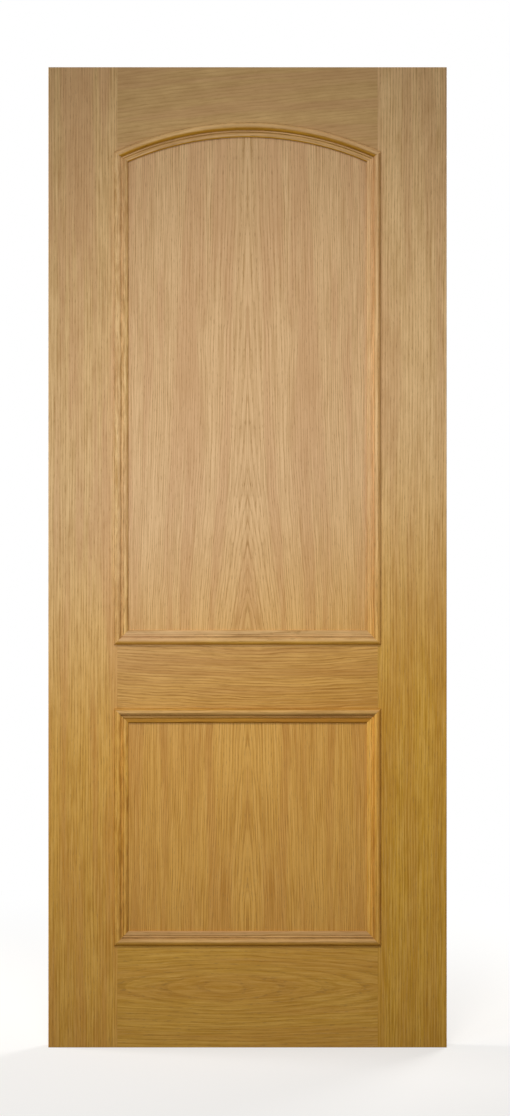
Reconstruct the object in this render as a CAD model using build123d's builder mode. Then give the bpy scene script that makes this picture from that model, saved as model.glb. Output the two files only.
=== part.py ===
from build123d import *
import math
import os

# Oak-faced security door leaf. A tenoned timber core carries a steel sheet on each side. Over each sheet
# lies an oak face: stiles and rails round two flat panels, with rolled mouldings mitred round the panels.
# X runs across the leaf, Y through it with the front towards -Y, and Z up from the middle of its foot.

# Leaf
leaf_width = 825.0
leaf_height = 2030.0
leaf_thickness = 45.0
arris_radius = 1.2  # eased edge round each face

# Stiles and rails of the faces
face_thickness = 7.0
stile_width = 143.0
bottom_rail_height = 218.0
lower_opening_height = 477.0
middle_rail_height = 146.0
top_rail_height = 122.0  # at the crown of the arch
arch_rise = 59.0

# Panels
panel_thickness = 3.0
panel_clearance = 0.3

# Mouldings: a roll on the stiles and rails, then a quirk, a bead, a second quirk and a rounded lip on the panel
moulding_width = 30.0
moulding_lap = 7.0  # seat on the stiles and rails
moulding_clearance = 0.2
moulding_rise = 8.5  # crest of the roll above the stiles
roll_edge = 1.2  # thickness of the roll's outer edge
roll_reach = 8.0  # from the outer edge to the crest
nose_radius = 7.0  # inner side of the roll
quirk_depth = 0.6
quirk_width = 1.2
bead_radius = 1.7
bead_step = 1.0  # from the first quirk's floor down to the second's
lip_quirk_width = 1.3
lip_rise = 0.8  # of the lip above the second quirk
lip_radius = 3.0

# Steel sheets and edge lippings
steel_thickness = 1.0
lipping_thickness = 10.0

# Core frame and its infill
core_stile_width = 70.0
core_top_rail_height = 90.0
core_lock_rail_height = 150.0
core_bottom_rail_height = 110.0
lock_height = 1000.0  # middle of the lock rail
infill_clearance = 0.3

# Stub tenons that join the core rails to the core stiles
tenon_length = 35.0
tenon_thickness = 10.0
tenon_shoulder = 15.0  # above and below the tenon
tenon_clearance = 0.1
tenon_end_gap = 1.0

# Sizes that follow
cut_overrun = 10.0
core_thickness = leaf_thickness - 2 * (face_thickness + steel_thickness)
core_width = leaf_width - 2 * lipping_thickness
core_rail_length = core_width - 2 * core_stile_width
infill_width = core_rail_length - 2 * infill_clearance
mortise_depth = tenon_length + tenon_end_gap
mortise_thickness = tenon_thickness + 2 * tenon_clearance
panel_recess = face_thickness - panel_thickness
opening_width = leaf_width - 2 * stile_width
lower_foot = bottom_rail_height
lower_head = lower_foot + lower_opening_height
upper_foot = lower_head + middle_rail_height
arch_crown = leaf_height - top_rail_height
arch_radius = ((opening_width / 2) ** 2 + arch_rise**2) / (2 * arch_rise)
arch_centre = arch_crown - arch_radius

# Foot and height of each core rail
core_rails = {
    "top": (leaf_height - core_top_rail_height, core_top_rail_height),
    "lock": (lock_height - core_lock_rail_height / 2, core_lock_rail_height),
    "bottom": (0, core_bottom_rail_height),
}

# Planes of the front, all facing out of the leaf: under the sheet, under the face and on the stiles
steel_plane = Plane.XZ.offset(core_thickness / 2)
face_plane = steel_plane.offset(steel_thickness)
seat_plane = face_plane.offset(face_thickness)
outward = seat_plane.z_dir

# Sign of X on each hand, and the corners that each moulding runs between
hands = (("left", -1), ("right", 1))
moulding_ends = {
    "bottom": ("foot_left", "foot_right"),
    "right": ("foot_right", "head_right"),
    "top": ("head_right", "head_left"),
    "left": ("head_left", "foot_left"),
}

os.makedirs("parts", exist_ok=True)


def save(piece, name):
    """Label one piece and write it."""
    piece.part.label = name
    export_step(piece.part, f"parts/{name}.step")


def save_both_sides(piece, name):
    """Write a piece of the front, and its mirror image for the back."""
    with BuildPart() as opposite:
        mirror(piece.part, about=Plane.XZ)
    save(piece, f"front_{name}")
    save(opposite, f"back_{name}")


def spring_height(inset):
    """Height at which the arch meets the upright side, on an outline drawn in by an inset."""
    return arch_centre + math.sqrt((arch_radius - inset) ** 2 - (opening_width / 2 - inset) ** 2)


def opening_corners(half, foot, head):
    """The four corners of an opening, by name."""
    return {
        "foot_left": (-half, foot),
        "foot_right": (half, foot),
        "head_right": (half, head),
        "head_left": (-half, head),
    }


def upper_corners(inset):
    """Corners of the upper opening, drawn in by an inset."""
    return opening_corners(opening_width / 2 - inset, upper_foot + inset, spring_height(inset))


def lower_corners(inset):
    """Corners of the lower opening, drawn in by an inset."""
    return opening_corners(opening_width / 2 - inset, lower_foot + inset, lower_head - inset)


def upper_outline(inset):
    """The upper opening's outline, with its arched head, drawn in by an inset."""
    corners = upper_corners(inset)
    with BuildSketch() as outline:
        with BuildLine():
            Polyline(*(corners[name] for name in ("head_left", "foot_left", "foot_right", "head_right")))
            ThreePointArc(corners["head_right"], (0, arch_crown - inset), corners["head_left"])
        make_face()
    return outline.sketch


def moulding_section():
    """The moulding's section: x runs in from its outer edge, and y out from the stiles."""
    rebate = moulding_lap + moulding_clearance
    crest = (roll_reach, moulding_rise)
    nose_edge = roll_reach + nose_radius
    nose_foot = moulding_rise - nose_radius
    quirk_floor = nose_foot - quirk_depth
    bead_edge = nose_edge + quirk_width
    bead_end = bead_edge + 2 * bead_radius
    second_floor = quirk_floor - bead_step
    lip_edge = bead_end + lip_quirk_width
    lip_top = second_floor + lip_rise
    lip_turn = moulding_width - lip_radius
    lip_foot = lip_top - lip_radius
    with BuildSketch() as section:
        with BuildLine():
            Polyline((rebate, 0), (0, 0), (0, roll_edge))
            TangentArc(crest, (0, roll_edge), tangent=(-1, 0))
            TangentArc(crest, (nose_edge, nose_foot), tangent=(1, 0))
            Polyline((nose_edge, nose_foot), (nose_edge, quirk_floor), (bead_edge, quirk_floor))
            TangentArc((bead_edge, quirk_floor), (bead_end, quirk_floor), tangent=(0, 1))
            Polyline((bead_end, quirk_floor), (bead_end, second_floor), (lip_edge, second_floor))
            Polyline((lip_edge, second_floor), (lip_edge, lip_top), (lip_turn, lip_top))
            TangentArc((lip_turn, lip_top), (moulding_width, lip_foot), tangent=(1, 0))
            Polyline((moulding_width, lip_foot), (moulding_width, -panel_recess), (rebate, -panel_recess), (rebate, 0))
        make_face()
    return section.sketch


def mitre_plane(outer, inner, kept):
    """Plane through an outer and an inner corner, facing the side of a point that is kept."""
    start = seat_plane.from_local_coords(outer)
    normal = (seat_plane.from_local_coords(inner) - start).cross(outward)
    if normal.dot(seat_plane.from_local_coords(kept) - start) < 0:
        normal = -normal
    return Plane(origin=start, z_dir=normal)


def straight_moulding(outer_ends, inner_ends):
    """A straight moulding between two corners, mitred at both."""
    first, last, inner = (Vector(*corner) for corner in (*outer_ends, inner_ends[0]))
    middle = (first + last) / 2
    along = (last - first).normalized()
    inward = (inner - first) - along * (inner - first).dot(along)
    across = seat_plane.x_dir * inward.X + seat_plane.y_dir * inward.Y
    origin = seat_plane.from_local_coords(middle)
    with BuildPart() as moulding:
        with BuildSketch(Plane(origin=origin, x_dir=across, z_dir=across.cross(outward))):
            add(section)
        extrude(amount=(last - first).length / 2 + cut_overrun, both=True)
        for outer, inner in zip(outer_ends, inner_ends):
            split(bisect_by=mitre_plane(outer, inner, middle))
    return moulding


def arched_moulding(outer_ends, inner_ends):
    """The moulding of the arch, turned about the arch's centre and mitred on to the two uprights."""
    outer_radius = arch_radius + moulding_lap
    half_sweep = math.asin(outer_ends[0][0] / outer_radius) + cut_overrun / outer_radius
    radial = seat_plane.x_dir * math.sin(half_sweep) + seat_plane.y_dir * math.cos(half_sweep)
    centre = seat_plane.from_local_coords((0, arch_centre))
    start = Plane(origin=centre + radial * outer_radius, x_dir=-radial, z_dir=outward.cross(radial))
    with BuildPart() as moulding:
        with BuildSketch(start):
            add(section)
        revolve(axis=Axis(centre, outward), revolution_arc=2 * math.degrees(half_sweep))
        for outer, inner in zip(outer_ends, inner_ends):
            split(bisect_by=mitre_plane(outer, inner, (0, arch_crown)))
    return moulding


# Face stiles, with the three outer edges eased
for hand, side in hands:
    with BuildPart() as face_stile:
        with BuildSketch(face_plane):
            with Locations((side * (leaf_width - stile_width) / 2, leaf_height / 2)):
                Rectangle(stile_width, leaf_height)
        extrude(amount=face_thickness)
        face_edges = face_stile.faces().sort_by(Axis.Y)[0].edges()
        fillet(face_edges.sort_by(Axis.X, reverse=side > 0)[:-1], radius=arris_radius)
    save_both_sides(face_stile, f"{hand}_stile_face")

# Face rails, between the stiles
with BuildPart() as top_rail_face:
    with BuildSketch(face_plane):
        with Locations((0, leaf_height)):
            Rectangle(opening_width, top_rail_height + arch_rise, align=(Align.CENTER, Align.MAX))
        add(upper_outline(0), mode=Mode.SUBTRACT)
    extrude(amount=face_thickness)
    face_edges = top_rail_face.faces().sort_by(Axis.Y)[0].edges()
    fillet(face_edges.sort_by(Axis.Z)[-1], radius=arris_radius)
save_both_sides(top_rail_face, "top_rail_face")

with BuildPart() as middle_rail_face:
    with BuildSketch(face_plane):
        with Locations((0, lower_head)):
            Rectangle(opening_width, middle_rail_height, align=(Align.CENTER, Align.MIN))
    extrude(amount=face_thickness)
save_both_sides(middle_rail_face, "middle_rail_face")

with BuildPart() as bottom_rail_face:
    with BuildSketch(face_plane):
        Rectangle(opening_width, bottom_rail_height, align=(Align.CENTER, Align.MIN))
    extrude(amount=face_thickness)
    face_edges = bottom_rail_face.faces().sort_by(Axis.Y)[0].edges()
    fillet(face_edges.sort_by(Axis.Z)[0], radius=arris_radius)
save_both_sides(bottom_rail_face, "bottom_rail_face")

# Flat panels in the two openings
with BuildPart() as upper_panel:
    with BuildSketch(face_plane):
        add(upper_outline(panel_clearance))
    extrude(amount=panel_thickness)
save_both_sides(upper_panel, "upper_panel")

with BuildPart() as lower_panel:
    with BuildSketch(face_plane):
        Polygon(*lower_corners(panel_clearance).values(), align=None)
    extrude(amount=panel_thickness)
save_both_sides(lower_panel, "lower_panel")

# Mouldings, mitred round each opening with their rolls lapped over the stiles and rails
section = moulding_section()
for panel, corners in {"upper": upper_corners, "lower": lower_corners}.items():
    outer_corners = corners(-moulding_lap)
    inner_corners = corners(moulding_width - moulding_lap)
    for place, ends in moulding_ends.items():
        outer_ends = [outer_corners[end] for end in ends]
        inner_ends = [inner_corners[end] for end in ends]
        if panel == "upper" and place == "top":
            save_both_sides(arched_moulding(outer_ends, inner_ends), "upper_moulding_arch")
        else:
            save_both_sides(straight_moulding(outer_ends, inner_ends), f"{panel}_moulding_{place}")

# Steel sheets, between the core and the faces
with BuildPart() as steel_sheet:
    with BuildSketch(steel_plane):
        Rectangle(core_width, leaf_height, align=(Align.CENTER, Align.MIN))
    extrude(amount=steel_thickness)
save_both_sides(steel_sheet, "steel_sheet")

# Lippings that close the long edges, between the two faces
for hand, side in hands:
    with BuildPart() as lipping:
        with BuildSketch(Plane.XZ):
            with Locations((side * (leaf_width - lipping_thickness) / 2, leaf_height / 2)):
                Rectangle(lipping_thickness, leaf_height)
        extrude(amount=core_thickness / 2 + steel_thickness, both=True)
    save(lipping, f"{hand}_edge_lipping")

# Core stiles, mortised on their inner edges
for hand, side in hands:
    with BuildPart() as core_stile:
        with BuildSketch(Plane.XZ):
            with Locations((side * (core_width - core_stile_width) / 2, leaf_height / 2)):
                Rectangle(core_stile_width, leaf_height)
        extrude(amount=core_thickness / 2, both=True)
        with BuildSketch(Plane.XZ):
            for foot, height in core_rails.values():
                with Locations((side * core_rail_length / 2, foot + height / 2)):
                    Rectangle(2 * mortise_depth, height - 2 * (tenon_shoulder - tenon_clearance))
        extrude(amount=mortise_thickness / 2, both=True, mode=Mode.SUBTRACT)
    save(core_stile, f"core_{hand}_stile")

# Core rails, with a stub tenon at each end
for rail, (foot, height) in core_rails.items():
    with BuildPart() as core_rail:
        with BuildSketch(Plane.XZ):
            with Locations((0, foot + height / 2)):
                Rectangle(core_rail_length, height)
        extrude(amount=core_thickness / 2, both=True)
        with BuildSketch(Plane.XZ):
            with Locations((0, foot + height / 2)):
                Rectangle(core_rail_length + 2 * tenon_length, height - 2 * tenon_shoulder)
        extrude(amount=tenon_thickness / 2, both=True)
    save(core_rail, f"core_{rail}_rail")

# Infill boards between the core rails
for place, (below, above) in {"lower": ("bottom", "lock"), "upper": ("lock", "top")}.items():
    infill_foot = sum(core_rails[below]) + infill_clearance
    infill_head = core_rails[above][0] - infill_clearance
    with BuildPart() as core_infill:
        with BuildSketch(Plane.XZ):
            with Locations((0, infill_foot)):
                Rectangle(infill_width, infill_head - infill_foot, align=(Align.CENTER, Align.MIN))
        extrude(amount=core_thickness / 2, both=True)
    save(core_infill, f"core_{place}_infill")
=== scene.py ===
import math

import bmesh
import bpy
import numpy
from mathutils import Matrix, Vector


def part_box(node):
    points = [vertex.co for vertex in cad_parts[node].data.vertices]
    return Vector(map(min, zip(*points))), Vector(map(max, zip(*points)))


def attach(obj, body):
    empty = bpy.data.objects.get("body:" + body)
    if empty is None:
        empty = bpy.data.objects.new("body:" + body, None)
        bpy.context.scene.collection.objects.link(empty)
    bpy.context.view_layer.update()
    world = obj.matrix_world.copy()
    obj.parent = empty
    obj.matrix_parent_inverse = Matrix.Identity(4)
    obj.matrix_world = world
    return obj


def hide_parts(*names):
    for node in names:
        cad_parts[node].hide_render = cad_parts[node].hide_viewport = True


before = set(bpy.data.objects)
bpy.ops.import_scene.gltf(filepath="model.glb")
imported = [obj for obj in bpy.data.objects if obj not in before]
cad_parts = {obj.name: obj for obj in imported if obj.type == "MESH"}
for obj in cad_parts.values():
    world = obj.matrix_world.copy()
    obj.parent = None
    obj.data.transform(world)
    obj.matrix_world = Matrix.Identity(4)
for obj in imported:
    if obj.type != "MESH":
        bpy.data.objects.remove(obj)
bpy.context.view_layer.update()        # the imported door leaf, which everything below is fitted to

mm = 0.001               # metres in a millimetre

# places read from the solids
stileLow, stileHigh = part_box("front_left_stile_face")
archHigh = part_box("front_upper_moulding_arch")[1]
leafHeight = stileHigh.z
leafHalfWidth = -stileLow.x
frontFace = stileLow.y                       # plane of the front stiles
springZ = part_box("front_upper_moulding_left")[1].z
archRise = archHigh.z - springZ              # of the arched moulding's outer edge
archRadius = (archHigh.x ** 2 + archRise ** 2) / (2 * archRise)
archCentre = archHigh.z - archRadius
print("frame loaded:", len(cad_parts), "pieces")


def linearColour(hexText):
    parts = [int(hexText[i:i + 2], 16) / 255 for i in (1, 3, 5)]
    return [p / 12.92 if p <= 0.04045 else ((p + 0.055) / 1.055) ** 2.4 for p in parts] + [1.0]


def setInputs(tree, node, inputs):           # a node or an output is linked, anything else is a value
    for socket, value in inputs.items():
        if isinstance(value, bpy.types.Node):
            value = value.outputs[0]
        if isinstance(value, bpy.types.NodeSocket):
            tree.links.new(value, node.inputs[socket])
        else:
            node.inputs[socket].default_value = value


def addNode(tree, kind, inputs=None, **settings):
    node = tree.nodes.new(kind)
    for name, value in settings.items():
        setattr(node, name, value)
    setInputs(tree, node, inputs or {})
    return node


def startMaterial(name):
    material = bpy.data.materials.new(name)
    material.use_nodes = True
    return material, material.node_tree, material.node_tree.nodes["Principled BSDF"]


# Oak, planed and sanded under a satin lacquer: fine streaks that follow the growth rings, which open into
# tall arches where the cut lies flat to them, short dark pores, and slow drifts between a pinkish and a
# yellowish tan. The pores are drawn about six times as wide as real ones, or the render would not show them.
oak = {
    "run": "up",                                        # which way the grain goes
    "light": "#DDBB86", "dark": "#AF8953",              # late wood and early wood
    "ringMm": 6.0, "ringTone": 0.4, "earlyShare": 0.6,  # early wood fades out over that share of a ring
    "weatherPace": 0.31, "weatherDetail": 1.0, "weatherRings": 1.2,     # good and bad years shift the rings
    "pithAcrossMm": 900.0, "pithDepthMm": 120.0,        # middle of the tree, seen from the cut
    "taper": 0.02,                                      # how that middle leans along the board
    "bow": 0.0, "bowAtMm": 0.0, "bowSoftMm": 60.0,      # and how it bends
    "follow": 0.65, "sideways": 0.3,                    # how far streaks keep to the rings and change across
    "wanderMm": 4.5, "wanderSizeMm": (40.0, 120.0), "wanderDetail": 2.0,
    "streakTone": 1.1, "streakSizeMm": (2.4, 80.0), "streakDetail": 3.0,    # sizes are across and along
    "cloudTone": 0.5, "cloudSizeMm": (20.0, 56.0), "cloudDetail": 4.0,
    "driftTone": 0.32, "driftSizeMm": (24.0, 500.0), "driftDetail": 1.0,
    "patternLow": 0.25, "patternHigh": 0.75, "patternRoughness": 0.6,   # tones run between these levels
    "pore": "#8A6A3C", "poreShare": 0.36, "poreSizeMm": (1.7, 14.0), "poreDetail": 1.0,
    "poreLow": 0.54, "poreHigh": 0.68, "poreLate": 0.35,                # fewer are left in the late wood
    "blush": "#C99C74", "blushShare": 0.25, "blushNone": 0.58, "blushFull": 0.38,   # pinkish, on dark drifts
    "footTint": "#FBE582",                              # painted warm shade: darker and more golden towards the foot
    "footHigh": 1.2, "footLow": 0.6,                    # metres up the leaf, where that begins and is full
    "footLean": 0.2,                                    # it reaches higher on the right
    "footSpare": 0.25, "spareLow": 0.3, "spareHigh": 0.7,               # and is least on pale streaks
    "endShade": 0.45, "endNone": 0.8, "endFull": 0.95,  # end grain drinks the lacquer
    "recessTint": "#FFDF74", "shadeShare": 0.0,        # painted shade, golden, in a moulding's quirks and on its sides that face away from the lamps
    "reliefMm": 0.12, "toneRelief": 0.35, "bumpStrength": 0.5,
    "roughness": 0.5, "poreDullness": 0.2, "ior": 1.5, "specular": 0.2,
}


def grainAxes(tree, timber):
    place = addNode(tree, "ShaderNodeTexCoord").outputs["Object"]
    x, y, z = addNode(tree, "ShaderNodeSeparateXYZ", {0: place}).outputs
    across, along = x, z
    if timber["run"] == "level":
        across, along = z, x
    elif timber["run"] == "matched":                    # two leaves of veneer, opened like a book
        across = addNode(tree, "ShaderNodeMath", {0: x}, operation="ABSOLUTE")
    elif timber["run"] == "arch":                       # bent round the arch
        height = addNode(tree, "ShaderNodeMath", {0: z, 1: archCentre}, operation="SUBTRACT")
        spoke = addNode(tree, "ShaderNodeCombineXYZ", {0: x, 2: height})
        across = addNode(tree, "ShaderNodeVectorMath", {0: spoke}, operation="LENGTH").outputs["Value"]
        turn = addNode(tree, "ShaderNodeMath", {0: x, 1: height}, operation="ARCTAN2")
        along = addNode(tree, "ShaderNodeMath", {0: turn, 1: archRadius}, operation="MULTIPLY")
    return x, y, z, across, along


def grainPattern(tree, timber, part, grain):            # spots drawn out along the grain
    wide, long = timber[part + "SizeMm"]
    stretch = (1 / (wide * mm), 1 / (wide * mm), 1 / (long * mm))
    drawn = addNode(tree, "ShaderNodeVectorMath", {0: grain, 1: stretch}, operation="MULTIPLY")
    fineness = {"Detail": timber[part + "Detail"], "Roughness": timber["patternRoughness"]}
    return addNode(tree, "ShaderNodeTexNoise", {"Vector": drawn, "Scale": 1.0, **fineness})


def treeLines(tree, timber, across, y, along):          # distance from the tree's middle, and lines along it
    plain = addNode(tree, "ShaderNodeCombineXYZ", {0: across, 1: y, 2: along})
    wander = grainPattern(tree, timber, "wander", plain)
    far = timber["wanderMm"] * mm
    waver = addNode(tree, "ShaderNodeMapRange", {0: wander, 3: -far, 4: far})
    gap = addNode(tree, "ShaderNodeMath", {0: across, 1: timber["pithAcrossMm"] * mm}, operation="SUBTRACT")
    side = addNode(tree, "ShaderNodeMath", {0: gap, 1: waver}, operation="ADD")
    reach = addNode(tree, "ShaderNodeMath", {0: along, 1: timber["bowAtMm"] * mm}, operation="SUBTRACT")
    bend = addNode(tree, "ShaderNodeCombineXYZ", {0: reach, 1: timber["bowSoftMm"] * mm})
    bent = addNode(tree, "ShaderNodeVectorMath", {0: bend}, operation="LENGTH").outputs["Value"]
    level = addNode(tree, "ShaderNodeMath", {0: y, 1: timber["pithDepthMm"] * mm}, operation="ADD")
    lean = addNode(tree, "ShaderNodeMath", {0: along, 1: timber["taper"], 2: level}, operation="MULTIPLY_ADD")
    deep = addNode(tree, "ShaderNodeMath", {0: bent, 1: timber["bow"], 2: lean}, operation="MULTIPLY_ADD")
    cut = addNode(tree, "ShaderNodeCombineXYZ", {0: side, 1: deep})
    radius = addNode(tree, "ShaderNodeVectorMath", {0: cut}, operation="LENGTH").outputs["Value"]
    straight = addNode(tree, "ShaderNodeMath", {0: side}, operation="ABSOLUTE")
    line = addNode(tree, "ShaderNodeMix", {0: timber["follow"], 2: straight, 3: radius}).outputs[0]
    beside = addNode(tree, "ShaderNodeMath", {0: across, 1: timber["sideways"]}, operation="MULTIPLY")
    return radius, addNode(tree, "ShaderNodeCombineXYZ", {0: line, 1: beside, 2: along})


def yearlyRings(tree, timber, radius):                  # uneven in width, 1 where early wood lies thickest
    years = addNode(tree, "ShaderNodeMath", {0: radius, 1: timber["ringMm"] * mm}, operation="DIVIDE")
    weather = addNode(tree, "ShaderNodeTexNoise", {"W": years, "Scale": timber["weatherPace"],
                                                   "Detail": timber["weatherDetail"]}, noise_dimensions="1D")
    uneven = addNode(tree, "ShaderNodeMath", {0: weather, 1: timber["weatherRings"], 2: years},
                     operation="MULTIPLY_ADD")
    ring = addNode(tree, "ShaderNodeMath", {0: uneven}, operation="FRACT")
    return addNode(tree, "ShaderNodeMapRange", {0: ring, 1: 0.0, 2: timber["earlyShare"], 3: 1.0, 4: 0.0},
                   interpolation_type="SMOOTHSTEP")


def timberColour(tree, timber, x, z, tone, pore, patterns):     # each layer goes over the last one
    normal = addNode(tree, "ShaderNodeNewGeometry").outputs["Normal"]
    upright = addNode(tree, "ShaderNodeSeparateXYZ", {0: normal}).outputs["Z"]
    standing = addNode(tree, "ShaderNodeMath", {0: upright}, operation="ABSOLUTE")
    endShade = timber["endShade"] if timber["run"] in ("up", "matched") else 0.0
    recess = addNode(tree, "ShaderNodeAttribute", attribute_name="recess").outputs["Fac"]
    golden = addNode(tree, "ShaderNodeMath", {0: x, 1: -timber["footLean"], 2: z}, operation="MULTIPLY_ADD")
    warmShadeSpread = addNode(tree, "ShaderNodeMapRange", {0: patterns["streak"], 1: timber["spareLow"],
                                                 2: timber["spareHigh"], 3: 1.0, 4: 1 - timber["footSpare"]})
    layers = [                                          # colour, how it is laid on, and where
        ("blush", "MIX", {0: patterns["drift"], 1: timber["blushNone"], 2: timber["blushFull"],
                          4: timber["blushShare"]}),
        # painted warm shade: darker and more golden towards the foot
        ("footTint", "MULTIPLY", {0: golden, 1: timber["footHigh"], 2: timber["footLow"], 4: warmShadeSpread}),
        ("pore", "MIX", {0: pore, 4: timber["poreShare"]}),
        ("pore", "MIX", {0: standing, 1: timber["endNone"], 2: timber["endFull"], 4: endShade}),
        # painted shade in the quirks and on sides away from the lamps
        ("recessTint", "MULTIPLY", {0: recess, 4: timber["shadeShare"]}),
    ]
    dark, light = linearColour(timber["dark"]), linearColour(timber["light"])
    colour = addNode(tree, "ShaderNodeMix", {0: tone, 6: dark, 7: light}, data_type="RGBA").outputs[2]
    for over, way, spread in layers:
        if spread[4]:
            share = addNode(tree, "ShaderNodeMapRange", spread, interpolation_type="SMOOTHSTEP")
            colour = addNode(tree, "ShaderNodeMix", {0: share, 6: colour, 7: linearColour(timber[over])},
                             data_type="RGBA", blend_type=way).outputs[2]
    return colour


def makeTimber(name, base, **changes):
    timber = {**base, **changes}
    material, tree, shader = startMaterial(name)
    x, y, z, across, along = grainAxes(tree, timber)
    radius, grain = treeLines(tree, timber, across, y, along)
    early = yearlyRings(tree, timber, radius)

    # rings, streaks, clouds and drifts added up round the middle tone
    half = timber["ringTone"] / 2
    tone = addNode(tree, "ShaderNodeMapRange", {0: early, 3: 0.5 + half, 4: 0.5 - half})
    patterns = {part: grainPattern(tree, timber, part, grain) for part in ("streak", "cloud", "drift")}
    for part, noise in patterns.items():
        half = timber[part + "Tone"] / 2
        share = addNode(tree, "ShaderNodeMapRange", {0: noise, 1: timber["patternLow"],
                                                     2: timber["patternHigh"], 3: -half, 4: half})
        tone = addNode(tree, "ShaderNodeMath", {0: tone, 1: share}, operation="ADD",
                       use_clamp=(part == "drift"))

    # pores, thickest in the early wood
    dots = grainPattern(tree, timber, "pore", grain)
    dash = addNode(tree, "ShaderNodeMapRange", {0: dots, 1: timber["poreLow"], 2: timber["poreHigh"]},
                   interpolation_type="SMOOTHSTEP")
    crowd = addNode(tree, "ShaderNodeMapRange", {0: early, 3: timber["poreLate"], 4: 1.0})
    pore = addNode(tree, "ShaderNodeMath", {0: dash, 1: crowd}, operation="MULTIPLY")

    # open pores catch the light, and the lacquer is duller over them
    relief = addNode(tree, "ShaderNodeMath", {0: tone, 1: timber["toneRelief"]}, operation="MULTIPLY")
    hollow = addNode(tree, "ShaderNodeMath", {0: relief, 1: pore}, operation="SUBTRACT")
    bump = addNode(tree, "ShaderNodeBump", {"Strength": timber["bumpStrength"], "Height": hollow,
                                            "Distance": timber["reliefMm"] * mm})
    dull = addNode(tree, "ShaderNodeMapRange", {0: pore, 3: timber["roughness"],
                                                4: timber["roughness"] + timber["poreDullness"]})
    colour = timberColour(tree, timber, x, z, tone, pore, patterns)
    setInputs(tree, shader, {"Base Color": colour, "Roughness": dull, "Normal": bump, "IOR": timber["ior"],
                             "Specular IOR Level": timber["specular"]})
    return material


# Oak veneer on the panels, sliced and book-matched: narrow rings and long fine streaks,
# which are drawn a few times as wide as real ones so that they show
veneer = {
    **oak, "run": "matched", "pithAcrossMm": -40.0, "pithDepthMm": 85.0, "ringMm": 3.8, "ringTone": 0.42,
    "wanderMm": 6.5, "wanderSizeMm": (60.0, 200.0), "streakSizeMm": (1.4, 140.0), "streakTone": 1.35,
    "cloudTone": 0.2, "poreShare": 0.34,
}

# Oak mouldings, run to their section, with painted golden shade in the quirks and on the sides away from the
# lamps
rolledOak = {**oak, "shadeShare": 1.0}

# Pine, planed and left bare inside the leaf: pale yellow, with wide reddish rings and hardly any pores
pine = {
    **oak, "light": "#E6CC9A", "dark": "#C99B5F", "blush": "#DDB98A", "pore": "#A9743F", "poreShare": 0.1,
    "footTint": "#FFFFFF", "ringMm": 4.5, "ringTone": 0.9, "streakTone": 0.3, "cloudTone": 0.3,
    "pithDepthMm": 45.0, "roughness": 0.65, "endShade": 0.2,
}

finish = {
    "leftStile": makeTimber(
        "oakLeftStileSatinLacquer", oak, light="#DBB884", dark="#AE8751", blushShare=0.42, footHigh=1.25,
        wanderSizeMm=(60.0, 300.0), streakTone=1.0, cloudTone=0.38),
    "rightStile": makeTimber(
        "oakRightStileSatinLacquer", oak, light="#E0BD8B", dark="#B28C57", footTint="#F0DA58", footHigh=1.3,
        wanderSizeMm=(60.0, 300.0), streakTone=0.9, cloudTone=0.38),
    "topRail": makeTimber(
        "oakTopRailSatinLacquer", oak, run="level", light="#CBA872", dark="#A5814E", pithAcrossMm=1500.0,
        pithDepthMm=400.0, taper=-0.15, ringTone=0.22, streakTone=0.4, poreShare=0.15),
    "middleRail": makeTimber(
        "oakMiddleRailSatinLacquer", oak, run="level", light="#D2AC7A", dark="#9E7744", pithAcrossMm=1100.0,
        pithDepthMm=130.0, taper=0.0, bow=0.15, bowAtMm=60.0, bowSoftMm=100.0, ringTone=0.42, wanderMm=7.0,
        streakSizeMm=(1.9, 120.0), streakTone=1.0, cloudTone=0.36, driftTone=0.5, poreShare=0.28),
    "bottomRail": makeTimber(
        "oakBottomRailSatinLacquer", oak, run="level", light="#D8B67E", dark="#AC8953", pithAcrossMm=125.0,
        pithDepthMm=50.0, taper=0.0, bow=0.1, bowAtMm=-50.0, bowSoftMm=20.0, ringMm=7.5, ringTone=0.24,
        wanderMm=4.0, streakSizeMm=(1.8, 110.0), streakTone=0.9, cloudTone=0.3),
    "upperPanel": makeTimber(
        "oakUpperPanelBookMatchedVeneer", veneer, light="#DDB98B", dark="#B38D5C", blushShare=0.36,
        taper=0.055, bow=-0.04, bowAtMm=1200.0, bowSoftMm=100.0, driftTone=0.3),
    "lowerPanel": makeTimber(
        "oakLowerPanelBookMatchedVeneer", veneer, taper=0.04, driftTone=0.45, footTint="#FBE18C"),
    "mouldingLeft": makeTimber(
        "oakMouldingLeftSatinLacquer", rolledOak, light="#E9C68F", dark="#BC935A", recessTint="#D8CEB4",
        cloudSizeMm=(6.5, 38.0), cloudTone=1.45),
    # The right pieces are a little lighter than the left: painted light, as from a lamp on the left
    "mouldingRight": makeTimber(
        "oakMouldingRightSatinLacquer", rolledOak, light="#EEC892", dark="#C3965E", recessTint="#D8CEB4",
        cloudSizeMm=(7.0, 120.0), cloudTone=0.7),
    "mouldingBottom": makeTimber(
        "oakMouldingFootSatinLacquer", rolledOak, run="level", light="#D4B385", dark="#AC8A5C",
        blush="#C6A07E", blushShare=0.5, footTint="#FFF0C8", recessTint="#FFEC7C"),
    # The head pieces are a little darker than the foot pieces: painted shade
    "mouldingTop": makeTimber(
        "oakMouldingHeadSatinLacquer", rolledOak, run="level", light="#D0AD7E", dark="#A78356",
        blush="#C89F80", blushShare=0.6, footTint="#FFF0B4", recessTint="#DEC866"),
    "mouldingArch": makeTimber(
        "oakMouldingArchSatinLacquer", rolledOak, run="arch", light="#DAB47C", dark="#B28A52",
        recessTint="#ECD648"),
    "coreUp": makeTimber("pineCoreStilePlaned", pine),
    "coreLevel": makeTimber("pineCoreRailPlaned", pine, run="level"),
}
print("timber finishes:", len(finish))


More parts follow.
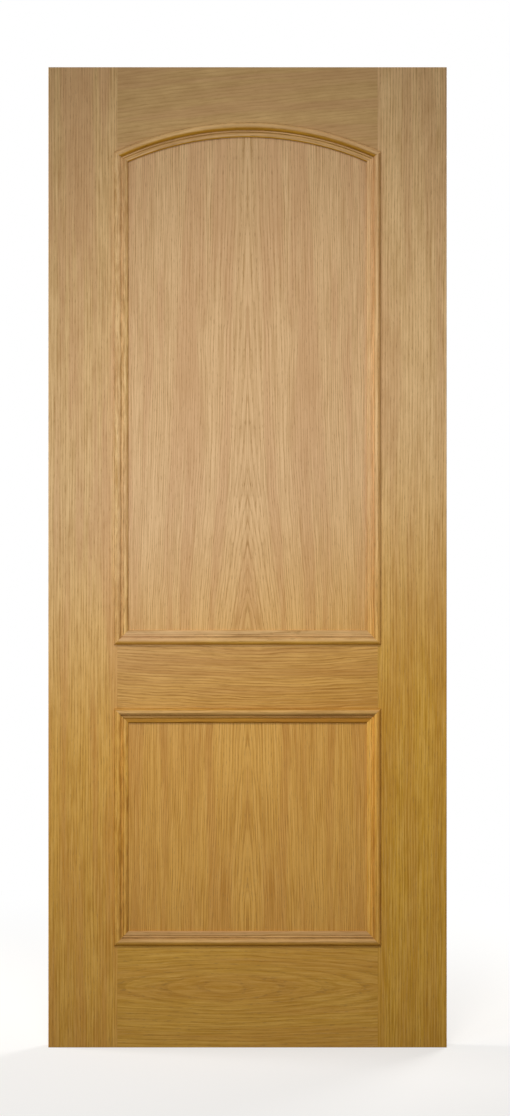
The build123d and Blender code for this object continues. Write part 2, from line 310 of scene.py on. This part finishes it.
def flakeTones(tree, sizeMm):                           # three random tones for each flake or spangle
    place = addNode(tree, "ShaderNodeTexCoord").outputs["Object"]
    flakes = addNode(tree, "ShaderNodeTexVoronoi", {"Vector": place, "Scale": 1 / (sizeMm * mm)})
    return addNode(tree, "ShaderNodeSeparateColor", {0: flakes.outputs["Color"]}).outputs


# Chipboard, pressed and sanded: flakes a few millimetres long, from straw to brown, in a dull matt board
chipboard = {"light": "#D6BC8C", "dark": "#8F6E43", "flakeMm": 4.0, "roughness": 0.85, "reliefMm": 0.2,
             "bumpStrength": 0.4}


def makeChipboard(name, board):
    material, tree, shader = startMaterial(name)
    tone = flakeTones(tree, board["flakeMm"])[0]
    dark, light = linearColour(board["dark"]), linearColour(board["light"])
    colour = addNode(tree, "ShaderNodeMix", {0: tone, 6: dark, 7: light}, data_type="RGBA").outputs[2]
    bump = addNode(tree, "ShaderNodeBump", {"Strength": board["bumpStrength"], "Height": tone,
                                            "Distance": board["reliefMm"] * mm})
    setInputs(tree, shader, {"Base Color": colour, "Roughness": board["roughness"], "Normal": bump})
    return material


# Galvanised sheet steel, hot dipped: a grey metal in frosty spangles about a centimetre across
zincSheet = {"light": "#C9CDD0", "dark": "#9DA3A8", "spangleMm": 11.0, "roughness": 0.38, "roughSpread": 0.2}


def makeZincSheet(name, sheet):
    material, tree, shader = startMaterial(name)
    tone, frost = flakeTones(tree, sheet["spangleMm"])[:2]
    dark, light = linearColour(sheet["dark"]), linearColour(sheet["light"])
    colour = addNode(tree, "ShaderNodeMix", {0: tone, 6: dark, 7: light}, data_type="RGBA").outputs[2]
    rough = addNode(tree, "ShaderNodeMapRange", {0: frost, 3: sheet["roughness"],
                                                 4: sheet["roughness"] + sheet["roughSpread"]})
    setInputs(tree, shader, {"Base Color": colour, "Roughness": rough, "Metallic": 1.0})
    return material


finish["infill"] = makeChipboard("chipboardPressed", chipboard)
finish["sheet"] = makeZincSheet("steelSheetGalvanised", zincSheet)

# boards, panels and the parts inside keep their solids and get their finish
dressed = {
    "left_stile_face": "leftStile", "right_stile_face": "rightStile",
    "top_rail_face": "topRail", "middle_rail_face": "middleRail", "bottom_rail_face": "bottomRail",
    "upper_panel": "upperPanel", "lower_panel": "lowerPanel", "steel_sheet": "sheet",
    "left_edge_lipping": "leftStile", "right_edge_lipping": "rightStile",
    "core_left_stile": "coreUp", "core_right_stile": "coreUp",
    "core_top_rail": "coreLevel", "core_lock_rail": "coreLevel", "core_bottom_rail": "coreLevel",
    "core_upper_infill": "infill", "core_lower_infill": "infill",
}
for node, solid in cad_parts.items():
    plain = node.removeprefix("front_").removeprefix("back_")
    if plain in dressed:
        for slot in solid.material_slots:
            slot.material = finish[dressed[plain]]
print("solids dressed")

# Mouldings: the solids' own section drawn with finer curves, run along each side and cut at the mitres
moulding = {
    "widthMm": 30.0, "lapMm": 7.2, "recessMm": 4.0,     # over all, on the stile, and down to the panel
    "riseMm": 8.5, "rollEdgeMm": 1.2, "rollReachMm": 8.0, "noseMm": 7.0,            # roll and its nose
    "quirkDeepMm": 0.6, "quirkWideMm": 1.2, "beadMm": 1.7, "beadStepMm": 1.0,       # quirk and bead
    "lipQuirkMm": 1.3, "lipRiseMm": 0.8, "lipMm": 3.0,  # second quirk and lip
    "arcSteps": 10, "archSteps": 80,
    "overrunMm": 20.0, "cutSlackMm": 0.0001,            # run past the mitres, which are then cut
    "easeMm": 0.2, "easeDegrees": 35.0, "sharpDegrees": 40.0,       # corners past that angle are eased
    "shadedSides": {                                       # where shade is painted on each piece, by place across its section
        "arch": {"crest": 0.1, "noseMiddle": 0.8, "noseEdge": 0.9, "beadEdge": 0.1, "beadMiddle": 0.0,
                 "beadEnd": 0.5, "lipEdge": 0.4, "lipTurn": 0.0, "lipMiddle": 0.9, "innerEdge": 1.0},
        "top": {"outerEdge": 0.8, "crest": 0.0, "noseMiddle": 0.0, "noseEdge": 0.3, "beadEdge": 0.4,
                "beadMiddle": 0.2, "beadEnd": 1.0},
        "bottom": {"outerEdge": 1.0, "rollMiddle": 0.8, "noseMiddle": 0.0},
        "left": {"lipEdge": 0.0, "lipTurn": 0.8},
        "right": {"outerEdge": 0.55, "rollMiddle": 0.85, "crest": 0.0},
    },
}


def drawSection(bm, m, place):                          # x goes in from the outer edge, y out from the stile
    pen = first = bm.verts.new((0.0, 0.0, 0.0))

    def lineTo(u, v):
        nonlocal pen
        pen = bmesh.ops.extrude_vert_indiv(bm, verts=[pen])["verts"][0]
        pen.co = (u * mm, v * mm, 0.0)

    def arcAbout(u, v, degrees):
        nonlocal pen
        turned = bmesh.ops.spin(bm, geom=[pen], cent=(u * mm, v * mm, 0.0), axis=(0.0, 0.0, 1.0),
                                angle=math.radians(degrees), steps=m["arcSteps"], use_duplicate=False)
        pen = [part for part in turned["geom_last"] if isinstance(part, bmesh.types.BMVert)][0]

    rollRise = m["riseMm"] - m["rollEdgeMm"]
    rollRadius = (m["rollReachMm"] ** 2 + rollRise ** 2) / (2 * rollRise)
    rollTurn = math.degrees(math.asin(m["rollReachMm"] / rollRadius))
    noseEdge = m["rollReachMm"] + m["noseMm"]
    quirkFloor = m["riseMm"] - m["noseMm"] - m["quirkDeepMm"]
    beadEdge = noseEdge + m["quirkWideMm"]
    beadEnd = beadEdge + 2 * m["beadMm"]
    secondFloor = quirkFloor - m["beadStepMm"]
    lipEdge = beadEnd + m["lipQuirkMm"]
    lipTop = secondFloor + m["lipRiseMm"]
    lipTurn = m["widthMm"] - m["lipMm"]
    lineTo(0.0, m["rollEdgeMm"])
    arcAbout(m["rollReachMm"], m["riseMm"] - rollRadius, -rollTurn)
    arcAbout(m["rollReachMm"], m["riseMm"] - m["noseMm"], -90.0)
    lineTo(noseEdge, quirkFloor)
    lineTo(beadEdge, quirkFloor)
    arcAbout(beadEdge + m["beadMm"], quirkFloor, -180.0)
    lineTo(beadEnd, secondFloor)
    lineTo(lipEdge, secondFloor)
    lineTo(lipEdge, lipTop)
    lineTo(lipTurn, lipTop)
    arcAbout(lipTurn, lipTop - m["lipMm"], -90.0)
    lineTo(m["widthMm"], -m["recessMm"])
    lineTo(m["lapMm"], -m["recessMm"])
    lineTo(m["lapMm"], 0.0)
    bm.edges.new((pen, first))

    places = {
        "outerEdge": 0.0, "rollMiddle": m["rollReachMm"] / 2, "crest": m["rollReachMm"],
        "noseMiddle": m["rollReachMm"] + m["noseMm"] / 2, "noseEdge": noseEdge,
        "beadEdge": beadEdge, "beadMiddle": beadEdge + m["beadMm"], "beadEnd": beadEnd,
        "lipEdge": lipEdge, "lipTurn": lipTurn, "lipMiddle": lipTurn + m["lipMm"] / 2,
        "innerEdge": m["widthMm"],
    }
    # painted shade at each point of the section, as listed for the piece
    shares = m["shadedSides"][place]
    recess = bm.verts.layers.float.new("recess")
    for vert in bm.verts:
        vert[recess] = numpy.interp(vert.co.x / mm, [places[name] for name in shares], list(shares.values()))


def cornersOf(side, panel, head):                       # outer and inner corners of one frame of mouldings
    low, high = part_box(f"{side}_{panel}_moulding_left")
    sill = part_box(f"{side}_{panel}_moulding_bottom")[1].z
    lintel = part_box(f"{side}_{panel}_moulding_{head}")[0].z
    face = frontFace if side == "front" else -frontFace
    corners = {}
    for hand, way in (("left", 1.0), ("right", -1.0)):
        corners[hand, "foot"] = Vector((way * low.x, face, low.z)), Vector((way * high.x, face, sill))
        corners[hand, "head"] = Vector((way * low.x, face, high.z)), Vector((way * high.x, face, lintel))
    return corners


def makeMoulding(node, side, place, start, end, m):
    outerStart, innerStart = start
    outerEnd, innerEnd = end
    way = (outerEnd - outerStart).normalized()
    out = Vector((0.0, -1.0 if side == "front" else 1.0, 0.0))
    spare = m["overrunMm"] * mm
    bm = bmesh.new()
    drawSection(bm, m, place)
    arched = place == "arch"
    if arched:                                          # swung round the arch, a little past both mitres
        swing = math.asin(archHigh.x / archRadius) + spare / archRadius
        spoke = Vector((-math.sin(swing), 0.0, math.cos(swing)))
        inward, foot = -spoke, Vector((0.0, outerStart.y, archCentre)) + spoke * archRadius
    else:
        cornerIn = innerStart - outerStart
        inward, foot = (cornerIn - way * cornerIn.dot(way)).normalized(), outerStart - way * spare
    placed = Matrix((inward, out, inward.cross(out))).transposed().to_4x4()
    placed.translation = foot
    bmesh.ops.transform(bm, matrix=placed, verts=bm.verts[:])
    if arched:
        bmesh.ops.spin(bm, geom=bm.verts[:] + bm.edges[:], cent=(0.0, 0.0, archCentre), axis=(0.0, 1.0, 0.0),
                       angle=2 * swing, steps=m["archSteps"], use_duplicate=False)
    else:
        grown = bmesh.ops.extrude_edge_only(bm, edges=bm.edges[:])["geom"]
        bmesh.ops.translate(bm, vec=way * ((outerEnd - outerStart).length + 2 * spare),
                            verts=[part for part in grown if isinstance(part, bmesh.types.BMVert)])
    for outer, inner, beyond in ((outerStart, innerStart, -way), (outerEnd, innerEnd, way)):
        square = (inner - outer).cross(out).normalized()
        bmesh.ops.bisect_plane(bm, geom=bm.verts[:] + bm.edges[:] + bm.faces[:], dist=m["cutSlackMm"] * mm,
                               plane_co=outer, plane_no=square if square.dot(beyond) > 0 else -square,
                               clear_outer=True)
    bmesh.ops.holes_fill(bm, edges=[edge for edge in bm.edges if edge.is_boundary], sides=0)
    bmesh.ops.recalc_face_normals(bm, faces=bm.faces[:])
    corners = [edge for edge in bm.edges if edge.calc_face_angle(0.0) > math.radians(m["easeDegrees"])]
    bmesh.ops.bevel(bm, geom=corners, offset=m["easeMm"] * mm, offset_type="OFFSET", segments=1, profile=0.5,
                    affect="EDGES", material=-1, clamp_overlap=True)
    for face in bm.faces:
        face.smooth = True
    mesh = bpy.data.meshes.new(node + "_run")
    bm.to_mesh(mesh)
    bm.free()
    mesh.set_sharp_from_angle(angle=math.radians(m["sharpDegrees"]))
    piece = bpy.data.objects.new(node + "_run", mesh)
    bpy.context.scene.collection.objects.link(piece)
    return piece


heads = {"upper": "arch", "lower": "top"}               # the piece over each panel
headRun = ("left", "head"), ("right", "head")           # the corners where a piece starts and ends
otherRuns = {
    "left": (("left", "foot"), ("left", "head")),
    "right": (("right", "foot"), ("right", "head")),
    "bottom": (("left", "foot"), ("right", "foot")),
}
for panel, head in heads.items():
    for side in ("front", "back"):
        corners = cornersOf(side, panel, head)
        for place, (start, end) in {head: headRun, **otherRuns}.items():
            node = f"{side}_{panel}_moulding_{place}"
            piece = makeMoulding(node, side, place, corners[start], corners[end], moulding)
            piece.data.materials.append(finish["moulding" + place.capitalize()])
            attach(piece, "root")
            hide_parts(node)
print("mouldings run and mitred")


def seenDirectly(tree):                                 # 1 for what the eye sees, in a mirror or glass too
    rays = addNode(tree, "ShaderNodeLightPath").outputs
    seen = addNode(tree, "ShaderNodeMath", {0: rays["Is Camera Ray"], 1: rays["Is Glossy Ray"]},
                   operation="MAXIMUM")
    return addNode(tree, "ShaderNodeMath", {0: seen, 1: rays["Is Transmission Ray"]}, operation="MAXIMUM")


# Stage: a pale floor that fades to white away from the leaf, and lights the leaf less than it shows
floor = {"radius": 9.0, "segments": 96, "colour": "#EDEBE7", "bounce": "#7F7D79", "whiteNear": 0.55,
         "fadeFrom": 0.8, "fadeTo": 3.0}                # metres from the leaf
bm = bmesh.new()
bmesh.ops.create_circle(bm, cap_ends=True, segments=floor["segments"], radius=floor["radius"])
floorMesh = bpy.data.meshes.new("floor")
bm.to_mesh(floorMesh)
bm.free()
floorPiece = bpy.data.objects.new("floor", floorMesh)
bpy.context.scene.collection.objects.link(floorPiece)

# Painted floor, matt: it takes the shadow and gives a little light back
paint, tree = startMaterial("floorPaintMatt")[:2]
place = addNode(tree, "ShaderNodeTexCoord").outputs["Object"]
away = addNode(tree, "ShaderNodeVectorMath", {0: place}, operation="LENGTH").outputs["Value"]
white = addNode(tree, "ShaderNodeMapRange", {0: away, 1: floor["fadeFrom"], 2: floor["fadeTo"],
                                             3: floor["whiteNear"], 4: 1.0}, interpolation_type="SMOOTHSTEP")
seen = seenDirectly(tree)
share = addNode(tree, "ShaderNodeMath", {0: seen, 1: white}, operation="MULTIPLY")
glow = addNode(tree, "ShaderNodeEmission", {"Color": linearColour("#FFFFFF"), "Strength": 1.0})
bounced, shown = linearColour(floor["bounce"]), linearColour(floor["colour"])
coat = addNode(tree, "ShaderNodeMix", {0: seen, 6: bounced, 7: shown}, data_type="RGBA").outputs[2]
matt = addNode(tree, "ShaderNodeBsdfDiffuse", {"Color": coat})
both = addNode(tree, "ShaderNodeMixShader", {0: share, 1: matt, 2: glow})
setInputs(tree, tree.nodes["Material Output"], {"Surface": both})
floorMesh.materials.append(paint)

# World: soft room light, seen as plain white
room = {"colour": "#F4F1EC", "strength": 0.29}
world = bpy.data.worlds.new("room")
bpy.context.scene.world = world
world.use_nodes = True
tree = world.node_tree
soft = addNode(tree, "ShaderNodeBackground", {"Color": linearColour(room["colour"]),
                                              "Strength": room["strength"]})
blank = addNode(tree, "ShaderNodeBackground", {"Color": linearColour("#FFFFFF"), "Strength": 1.0})
both = addNode(tree, "ShaderNodeMixShader", {0: seenDirectly(tree), 1: soft, 2: blank})
setInputs(tree, tree.nodes["World Output"], {"Surface": both})

# Lamps: a spot from above for the relief, a small front lamp at half height, one behind for the other face
# and the right edge, and one for the left edge
lamps = {
    "key": {"kind": "SPOT", "at": (-0.2, -3.4, 4.4), "aim": (0.09, 0.0, 1.0), "power": 464.0,
            "colour": "#FFFAF2",
            "set": {"shadow_soft_size": 0.4, "spot_size": math.radians(26.6), "spot_blend": 1.0}},
    "front": {"kind": "AREA", "at": (-0.32, -1.5, 1.04), "aim": (-0.32, 0.0, 1.04), "power": 9.0,
              "colour": "#FFFFFF", "set": {"shape": "DISK", "size": 0.5}},
    "back": {"kind": "AREA", "at": (1.8, 3.4, 2.6), "aim": (0.0, 0.0, 1.0), "power": 125.0,
             "colour": "#FFFFFF", "set": {"shape": "DISK", "size": 1.6}},
    "side": {"kind": "AREA", "at": (-2.6, 0.5, 1.8), "aim": (-0.4, 0.0, 1.0), "power": 55.0,
             "colour": "#FFFFFF", "set": {"shape": "DISK", "size": 1.2}},
}
for name, lamp in lamps.items():
    light = bpy.data.lights.new(name, lamp["kind"])
    for setting, value in lamp["set"].items():
        setattr(light, setting, value)
    light.energy = lamp["power"]
    light.color = linearColour(lamp["colour"])[:3]
    stand = bpy.data.objects.new(name, light)
    stand.location = lamp["at"]
    stand.rotation_euler = (Vector(lamp["aim"]) - Vector(lamp["at"])).to_track_quat("-Z", "Y").to_euler()
    stand.visible_camera = False
    bpy.context.scene.collection.objects.link(stand)
print("floor, room and lamps set")

# Camera: square on to the face, far back, with the leaf where the photograph has it
photo = {"width": 510, "height": 1116, "left": 48.95, "right": 446.2, "top": 67.1, "foot": 1047.5}   # pixels
camera = {"lensMm": 100.0, "sensorMm": 36.0}
metresAcross = 2 * leafHalfWidth / (photo["right"] - photo["left"])     # per pixel
metresUp = leafHeight / (photo["foot"] - photo["top"])
viewHeight = metresUp * photo["height"]
cam = bpy.data.cameras.new("camera")
cam.lens = camera["lensMm"]
cam.sensor_fit = "VERTICAL"
cam.sensor_width = cam.sensor_height = camera["sensorMm"]
eye = bpy.data.objects.new("camera", cam)
eye.location = (metresAcross * (photo["width"] / 2 - (photo["left"] + photo["right"]) / 2),
                frontFace - viewHeight * camera["lensMm"] / camera["sensorMm"],
                metresUp * (photo["foot"] - photo["height"] / 2))
eye.rotation_euler = (math.pi / 2, 0.0, 0.0)
bpy.context.scene.collection.objects.link(eye)
bpy.context.scene.camera = eye
bpy.context.scene.view_settings.view_transform = "Standard"
